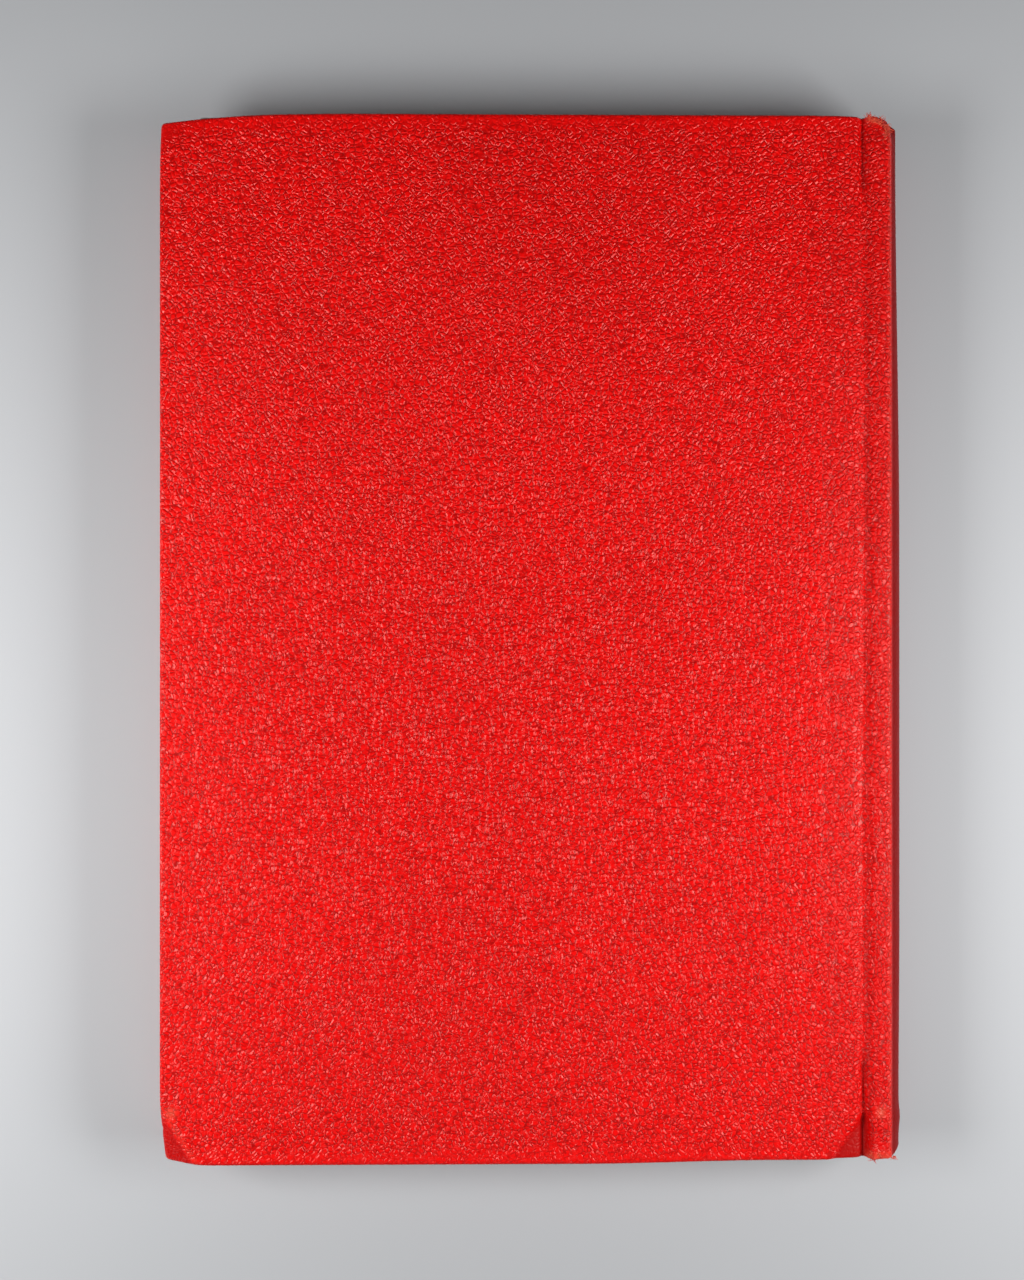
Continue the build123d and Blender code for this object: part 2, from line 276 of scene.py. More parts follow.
def leather_material(name, cell, height):
    """Grained leather that reads how rubbed and worn the sheet is at each point, and how much it is
    darkened, mostly by painted shade.
    """
    made, nodes, links, shader = new_material(name, LEATHER_ROUGHNESS)
    shader.inputs["Specular Tint"].default_value = GLOSS_TINT
    tree = made.node_tree
    grain = nodes.new("ShaderNodeGroup")
    grain.node_tree = grain_group
    grain.inputs["Cells per metre"].default_value = 1 / cell
    rubbed, worn, dark = (attribute(tree, label) for label in ("rubbed", "worn", "dark"))
    links.new(rubbed, grain.inputs["Flattening"])
    blotch = ramp(tree, grain.outputs["Shade"], 0.30, 0.75)
    red = mix_colour(tree, blotch, LEATHER_PALE_DYE, LEATHER_RED)
    # painted shade darkens the crevices between the pebbles
    grained = mix_colour(tree, grain.outputs["Crevices"], red, LEATHER_CREVICE_SHADE)
    # the dark mask lays painted shade on the leather, and a darker colour at its ends
    darkened = mix_colour(tree, dark, grained, LEATHER_DARK)
    # worn pale, with a painted highlight at the tail corner's fold
    finished = mix_colour(tree, worn, darkened, LEATHER_WORN)
    links.new(finished, shader.inputs["Base Color"])
    matt = math_node(tree, "MULTIPLY_ADD", dark, DARK_ROUGHER, LEATHER_ROUGHNESS)
    gloss = math_node(tree, "MULTIPLY_ADD", dark, DARK_DULLER, LEATHER_GLOSS)
    links.new(matt, shader.inputs["Roughness"])
    links.new(gloss, shader.inputs["Specular IOR Level"])
    add_relief(nodes, links, grain.outputs["Height"], height, shader)
    return made


leather = leather_material("red_leather", GRAIN_CELL, GRAIN_HEIGHT)

# ---- The leather over each half of the case ------------------------------------------
# One sheet of leather covers a board, crosses the joint and wraps half of the spine. Its
# edges are turned in over the board and mitred at the corners, and glued down.
leather_low, leather_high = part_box("back_cover_leather")
fore_x = leather_low.x
half_height = leather_high.y
spine_edge_x = book_high.x
joint_x = leather_high.x  # the board's inner edge, where the joint begins
face_z = top_z - middle_z  # heights below are counted from the book's middle


def joint_place(name):
    """Where one of the frame's joints turns."""
    return next(joint for joint in frame["joints"] if joint["name"] == name)["pos_m"]


HINGE = joint_place("back_cover_hinge")
FRONT_HINGE = joint_place("front_cover_hinge")
crease_x = HINGE[0] - 0.3 * mm
LEATHER_THICKNESS = 0.5 * mm
EDGE_ROLL = 0.6 * mm
TURN_IN = 15 * mm
COVER_DEPTH = leather_high.z - leather_low.z  # leather, board and turn-in together
JOINT_DEPTH = 1.05 * mm
SPINE_DEPTH = 1.4 * mm
RIDGE_X = crease_x + 1.6 * mm
RIDGE_Z = face_z - 0.35 * mm
SHOULDER_X = spine_edge_x - 3.7 * mm
FLANK_RADIUS = 8.0 * mm
FLANK_START = math.radians(50)
CORNER_RADIUS = 1.0 * mm
SPINE_END_SHORTER = 1.1 * mm  # how much the fullest part of the spine is pulled in at its ends


def smooth(value, low, high):
    """0 at low, 1 at high, with soft ends."""
    t = np.clip((value - low) / (high - low), 0, 1)
    return t * t * (3 - 2 * t)


def hump(value, centre, width):
    return np.exp(-(((value - centre) / width) ** 2))


def fold_rings(depth):
    """Insets and depths of the turned-in edge, from its inner end out to the face.

    depth is the thickness of what the leather folds round, for each column or row."""
    roll = np.minimum(EDGE_ROLL, 0.45 * depth)
    inset, sink = [], []
    for inner in (1.0, 0.72, 0.45, 0.2, 0.09):
        inset.append(inner * TURN_IN + 0 * depth)
        sink.append(depth)
    for degrees in (0, 30, 60, 90):
        angle = math.radians(degrees)
        inset.append(roll * (1 - math.sin(angle)))
        sink.append(depth - roll * (1 - math.cos(angle)))
    inset.append(0 * depth)
    sink.append(depth / 2)
    for degrees in (90, 66, 44, 22):
        angle = math.radians(degrees)
        inset.append(roll * (1 - math.sin(angle)))
        sink.append(roll * (1 - math.cos(angle)))
    return np.array(inset), np.array(sink), roll


RINGS = 14  # as many as fold_rings gives


def spaced(start, stop, step):
    """Evenly spaced places from start up to but without stop, about step apart."""
    count = max(1, round((stop - start) / step))
    return list(np.linspace(start, stop, count + 1)[:-1])


def bent_sheet(name, columns, rows):
    """A flat grid sheet; returns it with the column and row number of each vertex."""
    deselect()
    bpy.ops.mesh.primitive_grid_add(x_subdivisions=columns - 1, y_subdivisions=rows - 1, size=2)
    sheet = bpy.context.object
    sheet.name = sheet.data.name = name
    flat = np.empty(len(sheet.data.vertices) * 3)
    sheet.data.vertices.foreach_get("co", flat)
    flat = flat.reshape(-1, 3)
    column = np.rint((flat[:, 0] + 1) / 2 * (columns - 1)).astype(int)
    row = np.rint((flat[:, 1] + 1) / 2 * (rows - 1)).astype(int)
    return sheet, column, row


def set_points(sheet, points):
    sheet.data.vertices.foreach_set("co", np.asarray(points, float).ravel())
    sheet.data.update()


def pick(*things):
    """Selects only these objects and makes the first one active."""
    deselect()
    for thing in things:
        thing.select_set(True)
    bpy.context.view_layer.objects.active = things[0]


INWARD, BOTH_WAYS, OUTWARD = -1.0, 0.0, 1.0


def thicken(sheet, thickness, offset=INWARD):
    """Gives a sheet its thickness, on one side of its surface or on both."""
    solid = sheet.modifiers.new("thickness", "SOLIDIFY")
    solid.thickness = thickness
    solid.offset = offset
    pick(sheet)
    bpy.ops.object.modifier_apply(modifier=solid.name)


def smooth_shaded(sheet, degrees=40):
    pick(sheet)
    bpy.ops.object.shade_smooth_by_angle(angle=math.radians(degrees))


def flank_point(angle):
    """x and z on the spine's round flank; the angle is counted from its middle."""
    x = spine_edge_x - FLANK_RADIUS + FLANK_RADIUS * math.cos(angle)
    return x, FLANK_RADIUS * math.sin(angle)


def profile(columns):
    """x and z of the leather's outer face, from the fore-edge to the spine's middle."""
    xs, zs = [], []
    for x in columns["face"]:
        xs.append(x)
        zs.append(face_z)
    for x in columns["strip"]:
        xs.append(x)
        zs.append(RIDGE_Z - 0.30 * mm * ((x - RIDGE_X) / (SHOULDER_X - RIDGE_X)) ** 2)
    start, end = (xs[-1], zs[-1]), flank_point(FLANK_START)
    corner = (start[0] + 0.75 * mm, start[1] - 0.16 * mm)
    for t in columns["turn"]:
        a, b, c = (1 - t) ** 2, 2 * t * (1 - t), t * t
        xs.append(a * start[0] + b * corner[0] + c * end[0])
        zs.append(a * start[1] + b * corner[1] + c * end[1])
    for angle in columns["flank"]:
        x, z = flank_point(angle)
        xs.append(x)
        zs.append(z)
    return np.array(xs), np.array(zs)


FACE_COLUMNS = (
    spaced(fore_x + EDGE_ROLL, fore_x + 12 * mm, 0.6 * mm)
    + spaced(fore_x + 12 * mm, joint_x - 1.2 * mm, 1.9 * mm)
    + spaced(joint_x - 1.2 * mm, joint_x + 1.6 * mm, 0.35 * mm)
    + spaced(joint_x + 1.6 * mm, crease_x - 2.2 * mm, 0.7 * mm)
    + spaced(crease_x - 2.2 * mm, RIDGE_X, 0.2 * mm)
)
COLUMNS = {
    "face": FACE_COLUMNS,
    "strip": list(np.linspace(RIDGE_X, SHOULDER_X - 0.2 * mm, 10)),
    "turn": (0.2, 0.4, 0.6, 0.8),
    "flank": list(np.linspace(FLANK_START, 0, 16)),
}
END_ZONE = 14 * mm
ROWS = np.array(
    spaced(-1, -1 + END_ZONE / half_height, 0.55 * mm / half_height)
    + spaced(-1 + END_ZONE / half_height, 1 - END_ZONE / half_height, 1.8 * mm / half_height)
    + spaced(1 - END_ZONE / half_height, 1, 0.55 * mm / half_height)
    + [1]
)


BOARD_STEP, BAND_DROP = 0.09 * mm, 0.80 * mm
GROOVE_DEPTH, GROOVE_WIDTH = 0.28 * mm, 0.48 * mm
HEAD_PRESS, TAIL_PRESS = 0.55 * mm, 0.50 * mm  # the groove is pressed deeper at its ends


def joint_drop(x, y):
    """How far the leather sinks from the board's face over the joint and its groove."""
    to_crease = np.clip((x - joint_x) / (crease_x - joint_x), 0, 1)
    band = BOARD_STEP * smooth(x, joint_x - 1.0 * mm, joint_x + 1.2 * mm)
    band = band + BAND_DROP * to_crease**1.3
    head_end = smooth(y, 88 * mm, 97 * mm)
    tail_end = smooth(-y, 82 * mm, 92 * mm)
    uneven = 0.10 * mm * np.sin(y / (17 * mm)) + 0.06 * mm * np.sin(y / (5.3 * mm) + 1)
    press = GROOVE_DEPTH + uneven + HEAD_PRESS * head_end + TAIL_PRESS * tail_end
    wander = 0.25 * mm * np.sin(y / (23 * mm) + 0.6)
    groove = press / np.cosh((x - crease_x - wander) / GROOVE_WIDTH)
    climb = smooth(x, crease_x, RIDGE_X + 0.4 * mm)
    beyond = (band + groove) * (1 - climb) + climb * (face_z - RIDGE_Z)
    return np.where(x < crease_x, band + groove, beyond)


def spine_narrowing(y):
    """How much less full the spine is than at its middle, along its length."""
    to_head = smooth(y, 20 * mm, 104 * mm)
    to_tail = smooth(-y, 60 * mm, 97 * mm)
    tail_swell = hump(y, -100.5 * mm, 2.2 * mm)
    return 0.95 * mm * to_head + 0.2 * mm * to_tail - 0.3 * mm * tail_swell


def flank_part(x):
    """0 on the shoulder, growing to 1 at the fullest part of the spine."""
    return np.clip((x - SHOULDER_X + 0.6 * mm) / (4.3 * mm), 0, 1)


def formed_leather(name):
    """Half of the case's leather, formed over its board, joint and half spine.

    Returns the sheet, its points, how far each point lies under the board (0 to 1), and
    which points the mitred corners leave over."""
    base_x, base_z = profile(COLUMNS)
    main_columns, main_rows = len(base_x), len(ROWS)
    sheet, column, row = bent_sheet(name, RINGS + main_columns, 2 * RINGS + main_rows)
    in_fore = column < RINGS
    main = np.clip(column - RINGS, 0, main_columns - 1)
    x, z = base_x[main], base_z[main]
    into_joint = smooth(x, joint_x - 0.2 * mm, joint_x + 1.3 * mm)
    depth = COVER_DEPTH + (JOINT_DEPTH - COVER_DEPTH) * into_joint
    depth = depth + (SPINE_DEPTH - JOINT_DEPTH) * smooth(x, RIDGE_X, SHOULDER_X)
    insets, sinks, roll = fold_rings(depth)
    every_point = np.arange(len(x))

    # rows: the tail's turn-in, the face, and the head's turn-in
    ring_row = np.where(row < RINGS, row, 2 * RINGS + main_rows - 1 - row)
    in_end = (row < RINGS) | (row >= RINGS + main_rows)
    ring_row = np.clip(ring_row, 0, RINGS - 1)
    along = ROWS[np.clip(row - RINGS, 0, main_rows - 1)]
    flank_share = smooth(x, SHOULDER_X - 0.5 * mm, spine_edge_x - 0.4 * mm)
    end_y = half_height - SPINE_END_SHORTER * flank_share**2
    y = along * (end_y - roll)
    end_inset = np.where(in_end, insets[ring_row, every_point], roll)
    end_sink = np.where(in_end, sinks[ring_row, every_point], 0)
    sign = np.where(row < RINGS + main_rows / 2, -1, 1)
    y = np.where(in_end, sign * (end_y - end_inset), y)

    # columns: the fore-edge's turn-in, mitred against the other two
    ring_column = np.clip(column, 0, RINGS - 1)
    fore_inset = np.where(in_fore, insets[ring_column, every_point], roll)
    fore_sink = np.where(in_fore, sinks[ring_column, every_point], 0)
    y = np.where(in_fore, y * (half_height - fore_inset) / (half_height - roll), y)
    mitre = np.clip((joint_x - x) / (joint_x - fore_x - roll), 0, 1)
    x = np.where(in_fore, fore_x + fore_inset, x + (end_inset - roll) * mitre * in_end)
    sink = np.maximum(end_sink, fore_sink)

    # the joint's shape, then inwards by the fold's depth along the face's own normal
    y_face = np.clip(y, -half_height, half_height)

    def face(xx, zz):
        on_flat = xx <= RIDGE_X + 1e-9
        dropped = np.where(on_flat, face_z - joint_drop(xx, y_face), zz)
        narrowed = xx - spine_narrowing(y_face) * flank_part(xx)
        return narrowed, dropped

    outer_x, outer_z = face(x, z)
    last = main_columns - 1
    after, before = np.clip(main + 1, 0, last), np.clip(main - 1, 0, last)
    after_x, after_z = face(base_x[after], base_z[after])
    before_x, before_z = face(base_x[before], base_z[before])
    run, rise = after_x - before_x, after_z - before_z
    length = np.hypot(run, rise)
    at_middle = main >= last  # the spine's middle line faces straight out
    normal_x = np.where(at_middle, 1.0, -rise / length)
    normal_z = np.where(at_middle, 0.0, run / length)
    points = np.stack([outer_x - normal_x * sink, y, outer_z - normal_z * sink], axis=1)

    # the square corners are drawn in to a small round
    past_x = fore_x + CORNER_RADIUS - points[:, 0]
    past_y = np.abs(points[:, 1]) - (half_height - CORNER_RADIUS)
    corner = (past_x > 0) & (past_y > 0)
    diagonal = np.maximum(np.hypot(past_x, past_y), 1e-12)
    reach = np.where(corner, np.maximum(past_x, past_y) / diagonal, 1)
    rounded_x = fore_x + CORNER_RADIUS - past_x * reach
    rounded_y = np.sign(points[:, 1]) * (half_height - CORNER_RADIUS + past_y * reach)
    points[:, 0] = np.where(corner, rounded_x, points[:, 0])
    points[:, 1] = np.where(corner, rounded_y, points[:, 1])
    under = smooth(sink, 0.6 * mm, 2.4 * mm)
    return sheet, points, under, in_fore & in_end


def bend_corner(points, under, start, end, degrees, inside, softness=0.7 * mm, corner_x=fore_x):
    """Bends the corner beyond the line from start to end down.

    The turned-in leather underneath bends only inside that much farther out. Returns how
    far each point lies beyond the line."""
    angle = math.radians(degrees)
    along = np.array(end) - np.array(start)
    along = along / np.hypot(*along)
    out = np.array((along[1], -along[0]))
    if (np.array((corner_x, end[1])) - np.array(start)) @ out < 0:
        out = -out
    beyond = (points[:, :2] - np.array(start)) @ out
    beyond = beyond - inside * under
    eased = softness * np.log1p(np.exp(np.clip(beyond / softness, -30, 30)))
    bent = np.where(beyond > -4 * softness, eased, 0)
    points[:, 2] -= bent * math.sin(angle)
    points[:, 0] -= out[0] * bent * (1 - math.cos(angle))
    points[:, 1] -= out[1] * bent * (1 - math.cos(angle))
    return beyond


def paint(sheet, name, values):
    layer = sheet.data.attributes.new(name, "FLOAT", "POINT")
    layer.data.foreach_set("value", np.clip(values, 0, 1).astype(np.float32))


def finish_leather(sheet, points, spare, masks, mirrored):
    """Places the points, joins the mitres, and gives the sheet its thickness and finish."""
    points = points.copy()
    points[:, 2] += middle_z
    if mirrored:
        points[:, 2] = 2 * middle_z - points[:, 2]
    set_points(sheet, points)
    for name, values in masks.items():
        paint(sheet, name, values)
    for polygon in sheet.data.polygons:
        polygon.select = False
    for edge in sheet.data.edges:
        edge.select = False
    for vertex, unused in zip(sheet.data.vertices, spare):
        vertex.select = bool(unused)
    pick(sheet)
    bpy.ops.object.mode_set(mode="EDIT")
    bpy.ops.mesh.select_mode(type="VERT")
    bpy.ops.mesh.delete(type="VERT")
    bpy.ops.mesh.select_all(action="SELECT")
    bpy.ops.mesh.remove_doubles(threshold=0.002 * mm)
    if mirrored:
        bpy.ops.mesh.flip_normals()
    bpy.ops.object.mode_set(mode="OBJECT")
    thicken(sheet, LEATHER_THICKNESS)
    sheet.data.materials.clear()
    sheet.data.materials.append(leather)
    smooth_shaded(sheet, 50)


# the back cover, which has lain uppermost and has the knocks
back, points, under, spare = formed_leather("back_leather")
px, py = points[:, 0].copy(), points[:, 1].copy()
fore_reach = px - fore_x
tail_bend = bend_corner(
    points,
    under,
    start=(fore_x + 0.4 * mm, -96.8 * mm),
    end=(fore_x + 8.1 * mm, -108.3 * mm),
    degrees=27,
    inside=1.9 * mm,
)
head_bend = bend_corner(
    points,
    under,
    start=(fore_x, 99.0 * mm),
    end=(fore_x + 7.0 * mm, 108.5 * mm),
    degrees=12,
    inside=1.6 * mm,
    softness=1.6 * mm,
)
# the frayed cap at the head of the spine; its bend fades out down the flank
before_cap = points.copy()
cap_bend = bend_corner(
    points,
    under,
    start=(SHOULDER_X + 0.9 * mm, 103.6 * mm),
    end=(crease_x + 2.0 * mm, 108.4 * mm),
    degrees=38,
    inside=1.2 * mm,
    softness=0.3 * mm,
    corner_x=spine_edge_x,
)
capped = smooth(before_cap[:, 2], 2.5 * mm, 6.2 * mm)[:, None]
points = before_cap + (points - before_cap) * capped
# the edges of a used cover: drawn in at the head's fore-edge, wavy, nicked
head_pull = smooth(-px, -fore_x - 24 * mm, -fore_x + 4 * mm) * smooth(py, 98 * mm, 108 * mm)
head_push = smooth(px, fore_x + 14 * mm, fore_x + 40 * mm) * smooth(py, 96 * mm, 108 * mm)
tail_push = (1 - smooth(px, 10 * mm, 50 * mm)) * smooth(-py, 92 * mm, 108 * mm)
points[:, 1] += (0.35 * head_push - 1.5 * head_pull - 0.65 * tail_push) * mm
points[:, 2] += 0.07 * mm * np.sin(px / (31 * mm) + 1.3) * np.sin(py / (37 * mm) + 0.4)
on_face = 1 - under
NICKS = ((-4.3 * mm, 0.28 * mm), (-8.2 * mm, 0.22 * mm), (-101.0 * mm, 0.15 * mm))
for nick_y, nick_depth in NICKS:
    dent = hump(py, nick_y, 0.55 * mm) * np.exp(-fore_reach / (0.9 * mm))
    points[:, 0] += nick_depth * dent
    points[:, 2] -= 0.5 * nick_depth * dent * on_face
faint_fold = hump(py, NICKS[0][0], 0.35 * mm) * np.exp(-fore_reach / (5 * mm)) * on_face
points[:, 2] -= 0.05 * mm * faint_fold
# the tail end of the joint: a pit under a diagonal fold, and a ridge beside it
fold_start = np.array((joint_x + 3.3 * mm, -105.4 * mm))
fold_end = np.array((crease_x + 0.6 * mm, -96.5 * mm))
fold_run = fold_end - fold_start
fold_run = fold_run / np.hypot(*fold_run)
across_fold = np.array((fold_run[1], -fold_run[0]))
below_fold = (np.stack([px, py], axis=1) - fold_start) @ across_fold
pit = smooth(below_fold, -0.2 * mm, 1.9 * mm) * smooth(-py, 96.5 * mm, 100 * mm)
pit = pit * (1 - smooth(px, crease_x + 0.5 * mm, crease_x + 1.7 * mm))
points[:, 2] -= 0.75 * mm * pit
tail_ridge = hump(px, crease_x + 2.0 * mm, 0.45 * mm) * smooth(-py, 99 * mm, 102 * mm)
points[:, 2] += 0.28 * mm * tail_ridge
knock = hump(px, crease_x + 3.5 * mm, 0.9 * mm) * hump(py, -98.2 * mm, 1.0 * mm)
points[:, 2] += 0.2 * mm * knock

# where the leather is rubbed flat; where painted shade darkens it on the flank, the joint, the
# groove, the pit and the bent-down corners, and it is darker at the ends and over the cap;
# and where it is worn pale, with a painted highlight at the tail corner's fold
flank = smooth(px, SHOULDER_X + 0.15 * mm, SHOULDER_X + 1.0 * mm)
beyond_crease = smooth(tail_bend, 0.3 * mm, 1.4 * mm)
soft_corner = smooth(head_bend, -1.5 * mm, 2.5 * mm)
ends = smooth(np.abs(py), 106.9 * mm, 107.9 * mm)
shoulder_line = hump(px, SHOULDER_X, 0.32 * mm)
worn_cap = smooth(cap_bend, 0, 0.5 * mm)
# painted shade over the joint's band and strip, where the leather tilts away from the lamps
joint_shade = 0.10 * smooth(px, joint_x, joint_x + 1.5 * mm)
joint_shade = joint_shade + 0.08 * smooth(px, crease_x, RIDGE_X)
edge_softness = 0.45 * smooth(np.abs(py), 103.5 * mm, 107.5 * mm)
rubbed = np.maximum.reduce(
    [
        0.80 * flank,
        0.55 * beyond_crease,
        0.6 * soft_corner,
        0.45 * ends,
        0.75 * pit,
        0.9 * worn_cap,
        edge_softness,
    ]
)
groove_ends = np.maximum(smooth(py, 88 * mm, 96 * mm), smooth(-py, 82 * mm, 90 * mm))
groove_ends = groove_ends * (1 - smooth(-py, 96 * mm, 100 * mm))
# painted shade along the groove's crease, deepest where it is pressed in at its ends
groove_painted_shade = hump(px, crease_x, 0.45 * mm) * groove_ends
# painted shade on the spine's flank, over the joint, in the groove and the pit and on the bent-down
# corners; darker also at the leather's ends and over the worn cap
dark = np.maximum.reduce(
    [
        flank,
        joint_shade,
        0.5 * beyond_crease,
        0.2 * soft_corner,
        0.55 * groove_painted_shade,
        0.65 * pit,
        0.35 * ends,
        0.85 * worn_cap,
    ]
)
beading = np.random.default_rng(7)
# a painted highlight where the tail corner's fold starts
crease_end_highlight = hump(px, fore_x + 2.3 * mm, 1.0 * mm) * hump(py, -97.6 * mm, 1.0 * mm)
crease_line = hump(tail_bend, 0.0, 0.45 * mm) * smooth(-py, 95 * mm, 98 * mm) * on_face
corner_tip = smooth(tail_bend, 5.2 * mm, 6.4 * mm)
spine_ends = smooth(px, crease_x + 0.2 * mm, crease_x + 1.2 * mm)
spine_ends = spine_ends * (1 - smooth(px, SHOULDER_X, SHOULDER_X + 1.2 * mm))
spine_ends = spine_ends * smooth(np.abs(py), 105.6 * mm, 107.8 * mm)
beads = 0.16 * shoulder_line * (0.6 + 0.4 * beading.random(len(px)))
worn = np.maximum.reduce(
    [0.8 * crease_end_highlight, 0.22 * crease_line, 0.7 * corner_tip, 0.55 * spine_ends, 0.8 * knock, beads]
)
worn = worn * (1 - worn_cap)
finish_leather(back, points, spare, {"rubbed": rubbed, "dark": dark, "worn": worn}, False)
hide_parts("back_cover_leather", "back_joint_leather", "spine_leather")
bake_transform(back)

# the front cover lies underneath and is less knocked
front, points, under, spare = formed_leather("front_leather")
px, py = points[:, 0].copy(), points[:, 1].copy()
for y_sign in (-1, 1):
    bend_corner(
        points,
        under,
        start=(fore_x, y_sign * 102.5 * mm),
        end=(fore_x + 4.5 * mm, y_sign * 108.3 * mm),
        degrees=6,
        inside=1.9 * mm,
    )
flank = smooth(px, SHOULDER_X + 0.15 * mm, SHOULDER_X + 1.0 * mm)
ends = smooth(np.abs(py), 106.9 * mm, 107.9 * mm)
rubbed = np.maximum(0.80 * flank, 0.45 * ends)
# painted shade on the spine's flank, and darker at the leather's ends
dark = np.maximum(flank, 0.3 * ends)
finish_leather(front, points, spare, {"rubbed": rubbed, "dark": dark, "worn": 0 * px}, True)
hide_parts("front_cover_leather", "front_joint_leather")
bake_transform(front)

# ---- The spine inlay -----------------------------------------------------------------
# A strip of card between the two boards, curved to the block's back. It keeps the
# leather of the spine round, and the leather is glued to it and turned in over its ends.
INLAY_GAP = 0.52 * mm
INLAY_SHORTFALL = 5.5 * mm
INLAY_THICKNESS = 0.35 * mm
INLAY_ARC = math.radians(42)


def grid_formed(name, columns, rows, place):
    """A grid sheet formed by the rule place(u, v)."""
    sheet, column, row = bent_sheet(name, columns, rows)
    set_points(sheet, [place(c / (columns - 1), r / (rows - 1)) for c, r in zip(column, row)])
    return sheet


def inlay_place(u, v):
    """A point of the card: u goes round the spine, v from tail to head."""
    angle = INLAY_ARC * (1 - 2 * u)
    y = (2 * v - 1) * (half_height - INLAY_SHORTFALL)
    radius = FLANK_RADIUS - INLAY_GAP
    x = spine_edge_x - FLANK_RADIUS + radius * math.cos(angle)
    x -= float(spine_narrowing(y) * flank_part(x + INLAY_GAP))
    return x, y, middle_z + radius * math.sin(angle)


fibre_group, fibre_in, fibre_out = node_group(
    "fibres",
    {"Fibres per metre": 900.0, "Low": 0.35, "High": 0.65},
    {"Mask": "NodeSocketFloat", "Height": "NodeSocketFloat"},
)
place = fibre_group.nodes.new("ShaderNodeTexCoord").outputs["Object"]
for label, octaves, finer in (("Mask", 4.0, 1), ("Height", 2.0, 3)):
    fibre = scaled_noise(fibre_group, place, 1, octaves, 0.6)
    scale = math_node(fibre_group, "MULTIPLY", fibre_in.outputs["Fibres per metre"], finer)
    fibre_group.links.new(scale, fibre.inputs["Scale"])
    spread = ramp(fibre_group, fibre.outputs["Fac"], 0, 1)
    fibre_group.links.new(fibre_in.outputs["Low"], spread.node.inputs["From Min"])
    fibre_group.links.new(fibre_in.outputs["High"], spread.node.inputs["From Max"])
    fibre_group.links.new(spread, fibre_out.inputs[label])


def fibrous(nodes, scale):
    """The fibre group, placed in a material with its own scale."""
    fibre = nodes.new("ShaderNodeGroup")
    fibre.node_tree = fibre_group
    fibre.inputs["Fibres per metre"].default_value = scale
    return fibre


def mottled(name, light, dark, scale, roughness, relief):
    """A fibrous matt material, mottled between two colours; scale is fibres per metre."""
    made, nodes, links, shader = new_material(name, roughness)
    fibre = fibrous(nodes, scale)
    colour = mix_colour(made.node_tree, fibre.outputs["Mask"], dark, light)
    links.new(colour, shader.inputs["Base Color"])
    add_relief(nodes, links, fibre.outputs["Height"], relief, shader)
    return made


card = mottled(
    "card", (0.42, 0.36, 0.28, 1), (0.30, 0.25, 0.19, 1), scale=900, roughness=0.8, relief=0.02 * mm
)
inlay = grid_formed("spine_card", 15, 40, inlay_place)
thicken(inlay, INLAY_THICKNESS)
inlay.data.materials.append(card)
smooth_shaded(inlay)
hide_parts("spine_inlay")
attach(inlay, "book_block")

# ---- Boards, mull and lining ---------------------------------------------------------
# Greyboard stiffens the covers. Open-weave mull and kraft paper are glued over the sewn
# backs, and the mull's flaps are glued to the boards beside the joints.


def finish_node(node, material):
    """Gives a carried-over CAD node its finished material."""
    for slot in bpy.data.objects[node].material_slots:
        slot.material = material


def woven(name, thread, gap, pitch, axes):
    """A loose plain weave: threads over a darker gap, repeated along two axes."""
    made, nodes, links, shader = new_material(name, 0.85)
    tree = made.node_tree
    split = nodes.new("ShaderNodeSeparateXYZ")
    links.new(nodes.new("ShaderNodeTexCoord").outputs["Object"], split.inputs["Vector"])
    waves = []
    for axis in axes:
        turns = math_node(tree, "MULTIPLY", split.outputs[axis], 2 * math.pi / pitch)
        waves.append(math_node(tree, "COSINE", turns))
    over = ramp(tree, math_node(tree, "MAXIMUM", *waves), -0.1, 0.5)
    links.new(mix_colour(tree, over, gap, thread), shader.inputs["Base Color"])
    add_relief(nodes, links, over, 0.05 * mm, shader)
    return made


GREY_LIGHT, GREY_DARK = (0.30, 0.29, 0.27, 1), (0.17, 0.165, 0.155, 1)
KRAFT_LIGHT, KRAFT_DARK = (0.36, 0.24, 0.14, 1), (0.26, 0.165, 0.09, 1)
greyboard = mottled("greyboard", GREY_LIGHT, GREY_DARK, scale=700, roughness=0.9, relief=0.03 * mm)
kraft = mottled("kraft_paper", KRAFT_LIGHT, KRAFT_DARK, scale=800, roughness=0.8, relief=0.01 * mm)
MULL_THREAD, MULL_GAP = (0.68, 0.63, 0.52, 1), (0.30, 0.27, 0.22, 1)
MULL_PITCH = 0.9 * mm
flap_mull = woven("flap_mull", MULL_THREAD, MULL_GAP, MULL_PITCH, "XY")
for cover in ("back", "front"):
    finish_node(f"{cover}_board", greyboard)
    finish_node(f"{cover}_mull_flap", flap_mull)
finish_node("spine_mull", woven("spine_mull", MULL_THREAD, MULL_GAP, MULL_PITCH, "YZ"))
finish_node("spine_lining", kraft)

# ---- Endpapers -----------------------------------------------------------------------
# Heavy cream paper. One half is pasted down inside the cover, crosses the joint, and
# folds back as a free flyleaf against the pages.
PAPER_FOLD_X = crease_x - 0.3 * mm
JOINT_PAPER = 0.14 * mm
HALF_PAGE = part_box("leaf_1")[1].y
LEAF_COLUMNS = 130
CREAM, CREAM_DARK = (0.80, 0.75, 0.63, 1), (0.72, 0.66, 0.53, 1)
endpaper = mottled("endpaper", CREAM, CREAM_DARK, scale=60, roughness=0.75, relief=0.006 * mm)


